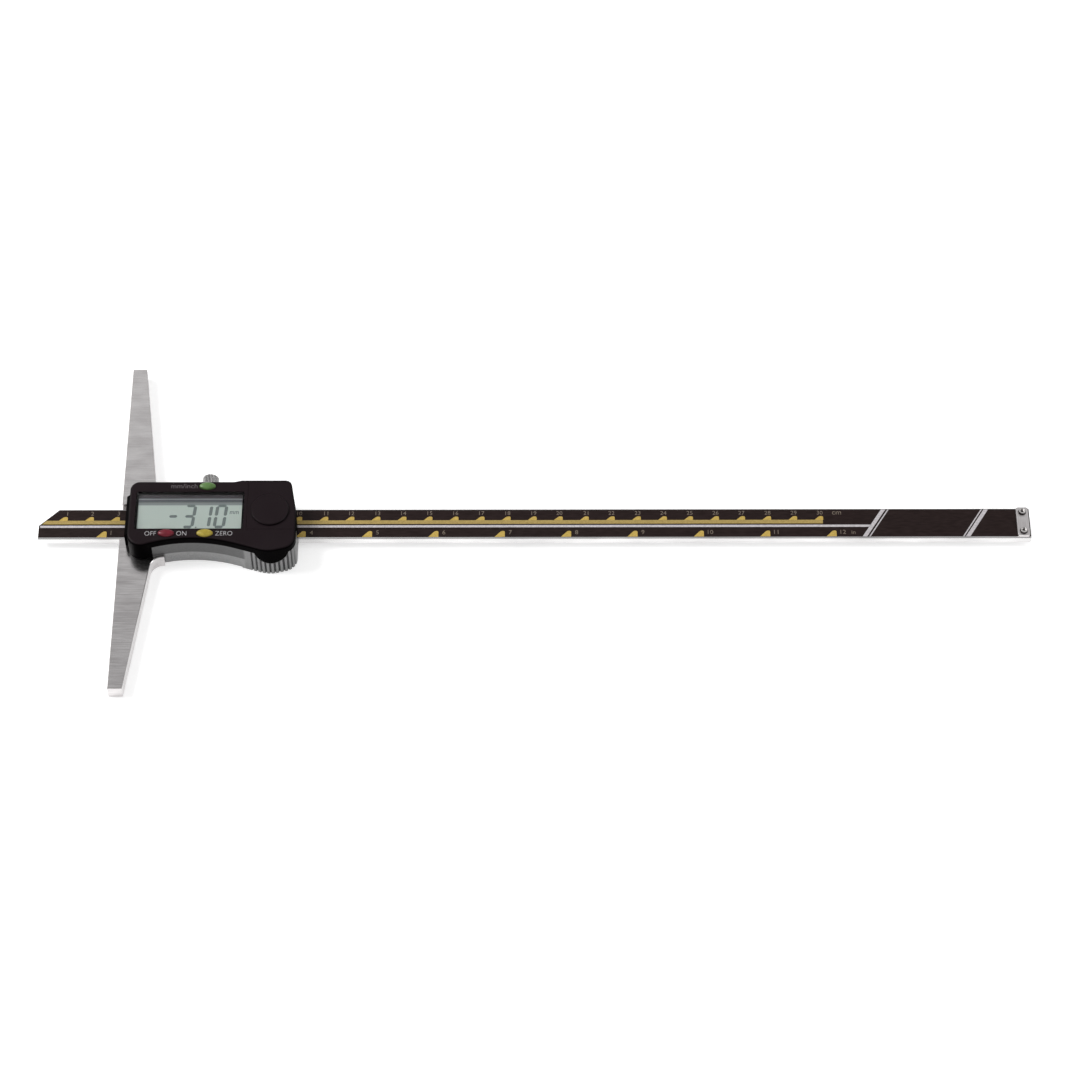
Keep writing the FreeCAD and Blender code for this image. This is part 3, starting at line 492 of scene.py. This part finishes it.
def lettering(words, height, corner, side="LEFT", slimness=0, stretch=1):
    """Words as a thin solid mesh of this height, with their lower corner on the given side at corner."""
    bpy.ops.object.text_add()
    text = bpy.context.object
    text.data.body = words
    text.data.size = 1
    text.data.align_x = side
    text.data.extrude = letter_thickness / 2
    text.data.offset = -slimness
    text.data.resolution_u = 4
    bpy.ops.object.convert(target="MESH")
    piece = bpy.context.object
    corners = [point.co for point in piece.data.vertices]
    low = min(point.y for point in corners)
    high = max(point.y for point in corners)
    grow = height / (high - low)
    left = min(point.x for point in corners)
    right = max(point.x for point in corners)
    edge = {"LEFT": left, "RIGHT": right}[side]
    bpy.ops.object.mode_set(mode="EDIT")
    bpy.ops.mesh.select_all(action="SELECT")
    bpy.ops.mesh.remove_doubles(threshold=1e-5)
    bpy.ops.transform.translate(value=(-edge, -low, 0))
    bpy.ops.transform.resize(value=(grow * stretch, grow, 1), center_override=(0, 0, 0))
    bpy.ops.transform.translate(value=(corner[0], corner[1], corner[2] + letter_thickness / 2))
    bpy.ops.mesh.normals_make_consistent(inside=False)
    bpy.ops.object.mode_set(mode="OBJECT")
    return piece


def joined(name, pieces):
    """Several meshes as one."""
    bpy.ops.object.select_all(action="DESELECT")
    for piece in pieces:
        piece.select_set(True)
    bpy.context.view_layer.objects.active = pieces[0]
    bpy.ops.object.join()
    pieces[0].name = name
    pieces[0].data.name = name
    return pieces[0]


def row_of_figures(name, figure, pitch, count, side, unit):
    """The numbers 1 to count, each at its mark, and the unit after them."""
    numbers = []
    for number in range(1, count + 1):
        mark = zero_mark + number * pitch - figure["gap"]
        numbers.append(lettering(str(number), figure["height"], (mark, figure["near"], strip_top), side))
    after = zero_mark + count * pitch + figure["unit_gap"]
    numbers.append(lettering(unit, figure["height"] * unit_share, (after, figure["near"], strip_top)))
    finished(joined(name, numbers), figure_ink, "sliding_beam")


row_of_figures("centimetre_figures", centimetre_figure, centimetre, last_centimetre, "RIGHT", "cm")
row_of_figures("inch_figures", inch_figure, inch, last_inch, "LEFT", "in")


# The slanting stripes near the far end: a wide and a thin silver stripe, and the same again the other way
# round. The field between them stays plain.
stripe_margin = 0.08 * mm
stripe_span = (strip_low.y + stripe_margin, strip_high.y - stripe_margin)
stripe_middles = {
    "wide_left": 289.0 * mm, "thin_left": 290.9 * mm, "thin_right": 326.8 * mm, "wide_right": 328.5 * mm,
}
stripe_widths = {"wide": 1.7 * mm, "thin": 0.55 * mm}
stripe_slant = 7.4 / 12.2


def lean(piece, slant, near):
    """Leans a flat piece along X by slant for each unit of Y beyond near."""
    piece.data.transform(Matrix(((1, slant, 0, -slant * near), (0, 1, 0, 0), (0, 0, 1, 0), (0, 0, 0, 1))))


for place, middle in stripe_middles.items():
    half = stripe_widths[place.split("_")[0]] / 2
    stripe = rectangle("stripe_" + place, middle - half, middle + half, *stripe_span, strip_top)
    thicken(ink_thickness)
    lean(stripe, stripe_slant, 0)
    finished(stripe, silver_ink, "sliding_beam")


# The bronze parts: the gib is a thin strip that the set screws press on the beam's far edge, and the
# battery contacts are springs bent from the same kind of sheet.
bronze_streak = (4 * mm, 0.15 * mm, 0.15 * mm)
bronze_dark = (0.46, 0.29, 0.12, 1)
bronze_light = (0.68, 0.47, 0.24, 1)
bronze_polish = (0.24, 0.38)

bronze, tree, shader = new_finish("rolled_bronze", Metallic=1)
rolling = drawn_noise(tree, bronze_streak)
tree.links.new(shades(tree, rolling, bronze_dark, bronze_light), shader.inputs["Base Color"])
tree.links.new(levels(tree, rolling, bronze_polish[0], bronze_polish[1]), shader.inputs["Roughness"])
relief(tree, shader, rolling, steel_streak_depth, turned_edge)
paint(bronze, "gib_strip", "battery_contacts")


# The circuit boards: glass-fibre laminate under a green solder mask, with copper tracks that show through
# it as lighter lines. A blob of black resin seals the measuring chip.
board_weave = (0.5 * mm, 0.5 * mm, 0.5 * mm)
board_dark = (0.012, 0.075, 0.030, 1)
board_light = (0.020, 0.115, 0.045, 1)
track_colour = (0.05, 0.24, 0.09, 1)
track_cell = 1.6 * mm
track_share = 0.12
track_run = 3
resin_dark = (0.010, 0.010, 0.011, 1)
resin_light = (0.020, 0.020, 0.021, 1)

board_finish, tree, shader = new_finish("green_solder_mask", Roughness=0.28, Coat_Weight=0.3)
fibre = shades(tree, drawn_noise(tree, board_weave), board_dark, board_light)
place = add_node(tree, "TexCoord")
scaled = add_node(tree, "Mapping", {"Vector": place.outputs["Object"], "Scale": [1 / track_cell] * 3})
tracks = add_node(tree, "TexBrick", {
    "Vector": scaled.outputs["Vector"], "Color1": (0, 0, 0, 1), "Color2": (0, 0, 0, 1),
    "Mortar": (1, 1, 1, 1), "Mortar Size": track_share / 2,
    "Scale": 1, "Brick Width": track_run, "Row Height": 1,
})
mask = add_node(tree, "Mix", {0: tracks.outputs["Color"], 6: fibre, 7: track_colour}, data_type="RGBA")
tree.links.new(mask.outputs[2], shader.inputs["Base Color"])
paint(board_finish, "main_board", "reader_board")

resin, tree, shader = new_finish("potting_resin", Roughness=0.22)
flecks = shades(tree, drawn_noise(tree, board_weave), resin_dark, resin_light)
tree.links.new(flecks, shader.inputs["Base Color"])
paint(resin, "measuring_chip")


# The zebra strips: silicone rubber with hair-thin conducting layers across it, squeezed between the board
# and the display's glass to join them.
zebra_layer = 0.18 * mm
wave_length_at_scale_one = 0.314
zebra_rubber = (0.55, 0.26, 0.25, 1)
zebra_carbon = (0.06, 0.05, 0.05, 1)

zebra_finish, tree, shader = new_finish("zebra_rubber", Roughness=0.62)
place = add_node(tree, "TexCoord")
layers = {"Vector": place.outputs["Object"], "Scale": wave_length_at_scale_one / zebra_layer}
waves = add_node(tree, "TexWave", layers)
tree.links.new(shades(tree, waves.outputs["Fac"], zebra_carbon, zebra_rubber), shader.inputs["Base Color"])
paint(zebra_finish, "zebra_connectors")


# The battery: a button cell in bright nickel plate, with fine scratches along the way it is pushed in.
cell_spot = (5 * mm, 0.5 * mm, 0.5 * mm)
cell_dark = (0.62, 0.61, 0.58, 1)
cell_light = (0.74, 0.73, 0.70, 1)
cell_polish = (0.14, 0.22)

cell_finish, tree, shader = new_finish("nickel_plate", Metallic=1)
handling = drawn_noise(tree, cell_spot)
tree.links.new(shades(tree, handling, cell_dark, cell_light), shader.inputs["Base Color"])
tree.links.new(levels(tree, handling, cell_polish[0], cell_polish[1]), shader.inputs["Roughness"])
paint(cell_finish, "battery")


# The display: two plates of glass with liquid crystal between them under a grey-green polarising film. The
# film ends before the far edge, where the grey bare contact ledge shows with painted shadow of the window's
# far wall as darker bands, crossed by a thin painted highlight line. The panel is also darker along its near
# edge and towards its left and right ends.
panel_low, panel_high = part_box("lcd_panel")
# Distances from the panel's near edge in mm with their colours: the film, then the ledge with painted shadow
# and a painted highlight line.
film_and_painted_shade_bands = (
    (0.00, (0.42, 0.47, 0.44, 1)),
    (1.20, (0.52, 0.59, 0.55, 1)),
    (11.7, (0.52, 0.59, 0.55, 1)),
    (12.2, (0.25, 0.275, 0.275, 1)),
    (13.2, (0.22, 0.240, 0.245, 1)),
    (13.4, (0.105, 0.115, 0.125, 1)),
    (14.6, (0.105, 0.110, 0.120, 1)),
    (14.75, (0.30, 0.31, 0.33, 1)),
    (14.95, (0.30, 0.31, 0.33, 1)),
    (15.1, (0.050, 0.046, 0.055, 1)),
    (16.2, (0.055, 0.048, 0.058, 1)),
    (16.6, (0.090, 0.075, 0.085, 1)),
)
display_left = (7.4 * mm, 7.7 * mm)
display_right = (46.9 * mm, 47.2 * mm)
side_shade = 0.45

display_finish, tree, shader = new_finish("display_glass", Roughness=0.16, Specular_IOR_Level=0.4)
parts = object_place(tree)
across = levels(tree, parts["Y"], 0, 1, panel_low.y, panel_high.y)
panel_width = panel_high.y - panel_low.y
film_and_shade = banded(tree, across, [(distance * mm / panel_width, colour) for distance, colour in film_and_painted_shade_bands])
left_side = levels(tree, parts["X"], side_shade, 1, *display_left)
right_side = levels(tree, parts["X"], 1, side_shade, *display_right)
sides = maths(tree, "MULTIPLY", left_side, right_side)
shaded = add_node(tree, "VectorMath", {0: film_and_shade, "Scale": sides}, operation="SCALE")
tree.links.new(shaded.outputs["Vector"], shader.inputs["Base Color"])
paint(display_finish, "lcd_panel")


# The reading: seven-segment digits that the crystal darkens, tall, thin and leaning. They show minus 3.10
# and the small sign of the unit.
segment_width = 1.25 * mm
segment_point = 0.35
row_end = 0.15 * mm
column_end = 0.30 * mm
digit_height = 11.1 * mm
digit_width = 4.65 * mm
digit_near = -7.85 * mm
digit_lean = 0.10
digit_lefts = {"3": 24.3 * mm, "1": 30.5 * mm, "0": 36.2 * mm}
lit_segments = {"3": "abcdg", "1": "bc", "0": "abcdef"}
minus_span = (19.0 * mm, 22.0 * mm)
point_place = (29.5 * mm, -7.80 * mm)
point_size = 0.7 * mm
sign_place = (41.8 * mm, -1.25 * mm)
sign_height = 1.35 * mm
sign_slimness = -0.02
sign_stretch = 0.87
segment_dark = (0.125, 0.150, 0.150, 1)
segment_light = (0.175, 0.205, 0.205, 1)

segment_finish, tree, shader = new_finish("darkened_crystal", Roughness=0.3, Specular_IOR_Level=0.3)
crystal = shades(tree, drawn_noise(tree, ink_spot), segment_dark, segment_light)
tree.links.new(crystal, shader.inputs["Base Color"])


def segment(name, left, right, near, far):
    """One segment of a digit, a bar with pointed ends."""
    piece = rectangle(name, left, right, near, far, panel_high.z)
    point = min(right - left, far - near) * segment_point
    bpy.ops.mesh.bevel(offset=point, segments=1, affect="VERTICES")
    thicken(ink_thickness)
    return piece


def digit(character):
    """The lit segments of one character, each between the middles of its neighbours."""
    left = digit_lefts[character] + segment_width / 2
    right = left + digit_width - segment_width
    near = digit_near + segment_width / 2
    far = near + digit_height - segment_width
    middle = (near + far) / 2
    half = segment_width / 2
    rows = {"a": far, "g": middle, "d": near}
    columns = {"f": (left, middle), "b": (right, middle), "e": (left, near), "c": (right, near)}
    pieces = []
    for name in lit_segments[character]:
        if name in rows:
            row = rows[name]
            pieces.append(segment(name, left + row_end, right - row_end, row - half, row + half))
        else:
            column, start = columns[name]
            stop = start + middle - near
            pieces.append(segment(name, column - half, column + half, start + column_end, stop - column_end))
    return pieces


reading = []
for character in digit_lefts:
    reading += digit(character)
minus_near = digit_near + digit_height / 2 - segment_width / 2
reading.append(segment("minus", *minus_span, minus_near, minus_near + segment_width))
point_left, point_near = point_place
reading.append(segment("point", point_left, point_left + point_size, point_near, point_near + point_size))
sign_corner = (*sign_place, panel_high.z)
reading.append(lettering("mm", sign_height, sign_corner, "LEFT", sign_slimness, sign_stretch))
digits = joined("display_digits", reading)
lean(digits, digit_lean, digit_near)
finished(digits, segment_finish, "slider")


# The display lens: a clear acrylic window in the cover, polished on both faces. It is plain and has no
# pattern of its own.
lens_finish, tree, shader = new_finish(
    "clear_acrylic", Base_Color=(0.97, 0.98, 0.975, 1), Roughness=0.02, IOR=1.30, Transmission_Weight=1
)
paint(lens_finish, "display_lens")


# The cover and the battery door: black ABS mouldings with a fine spark-eroded texture, a little warm in
# tone, whose roughness varies a little with handling. The walls below the top's rim and round the door's
# bump are painted near black as shade, with little gloss.
cover_grain = (0.16 * mm, 0.16 * mm, 0.16 * mm)
cover_wear = (9 * mm, 9 * mm, 9 * mm)
cover_dark = (0.0060, 0.0030, 0.0042, 1)
cover_light = (0.0120, 0.0065, 0.0085, 1)
painted_wall_shade = (0.0011, 0.0008, 0.0010, 1)
cover_polish = (0.36, 0.50)
cover_gloss = (0.006, 0.11)
cover_rim = (15.0 * mm, 15.38 * mm)
bump_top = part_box("battery_door")[1].z
bump_wall = (bump_top - 0.45 * mm, bump_top - 0.20 * mm)
bump_foot = (15.42 * mm, 15.55 * mm)
cover_depth = 0.010 * mm
cover_edge = 0.20 * mm

cover_finish, tree, shader = new_finish("black_moulded_plastic")
grain = drawn_noise(tree, cover_grain, 2)
wear = drawn_noise(tree, cover_wear)
parts = object_place(tree)
rim = levels(tree, parts["Z"], 0, 1, *cover_rim)
foot = levels(tree, parts["Z"], 1, 0, *bump_foot)
bump = levels(tree, parts["Z"], 0, 1, *bump_wall)
# The mask is 1 on the top and 0 on the walls, which get painted shade and little gloss.
top = maths(tree, "MINIMUM", maths(tree, "MAXIMUM", foot, bump), rim)
face = shades(tree, grain, cover_dark, cover_light)
body = add_node(tree, "Mix", {0: top, 6: painted_wall_shade, 7: face}, data_type="RGBA")
tree.links.new(body.outputs[2], shader.inputs["Base Color"])
tree.links.new(levels(tree, top, cover_gloss[0], cover_gloss[1], 0, 1), shader.inputs["Specular IOR Level"])
tree.links.new(levels(tree, wear, cover_polish[0], cover_polish[1]), shader.inputs["Roughness"])
relief(tree, shader, grain, cover_depth, cover_edge)
paint(cover_finish, "cover", "battery_door")


# The words on the cover: pad printed, white beside the on/off and zero buttons and faint grey beside the
# unit button.
lens_recess = 0.15 * mm
cover_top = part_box("display_lens")[1].z + lens_recess
word_height = 1.95 * mm
word_slimness = 0.022
word_stretch = 0.88
words_near = -12.2 * mm
white_words = {"OFF": 10.8 * mm, "ON": 22.85 * mm, "ZERO": 37.65 * mm}
unit_word_place = (19.65 * mm, 9.9 * mm)
unit_word_height = 2.1 * mm
white_colour = ((0.42, 0.41, 0.42, 1), (0.62, 0.61, 0.62, 1))
grey_colour = ((0.075, 0.065, 0.068, 1), (0.13, 0.115, 0.12, 1))

white_ink = ink("white_pad_ink", white_colour)
grey_ink = ink("grey_pad_ink", grey_colour)
for words, left in white_words.items():
    label = lettering(words, word_height, (left, words_near, cover_top), "LEFT", word_slimness, word_stretch)
    label.name = "word_" + words.lower()
    finished(label, white_ink, "slider")
label = lettering("mm/inch", unit_word_height, (*unit_word_place, cover_top))
label.name = "word_mm_inch"
finished(label, grey_ink, "slider")


# The buttons: glossy domed caps in red, yellow and green, moulded in one with the stem below that presses
# the snap dome on the board.
button_colours = {
    "on_off_button": ((0.105, 0.004, 0.012, 1), (0.145, 0.007, 0.018, 1)),
    "zero_button": ((0.29, 0.22, 0.027, 1), (0.385, 0.30, 0.042, 1)),
    "unit_button": ((0.070, 0.145, 0.040, 1), (0.100, 0.190, 0.060, 1)),
}
button_spot = (1.5 * mm, 1.5 * mm, 1.5 * mm)
button_edge = 0.25 * mm

for name, colours in button_colours.items():
    finish, tree, shader = new_finish(name + "_plastic", Roughness=0.30, Specular_IOR_Level=0.35)
    flow = drawn_noise(tree, button_spot)
    tree.links.new(shades(tree, flow, colours[0], colours[1]), shader.inputs["Base Color"])
    soft = add_node(tree, "Bevel", {"Radius": button_edge}, samples=6)
    tree.links.new(soft.outputs["Normal"], shader.inputs["Normal"])
    paint(finish, name)
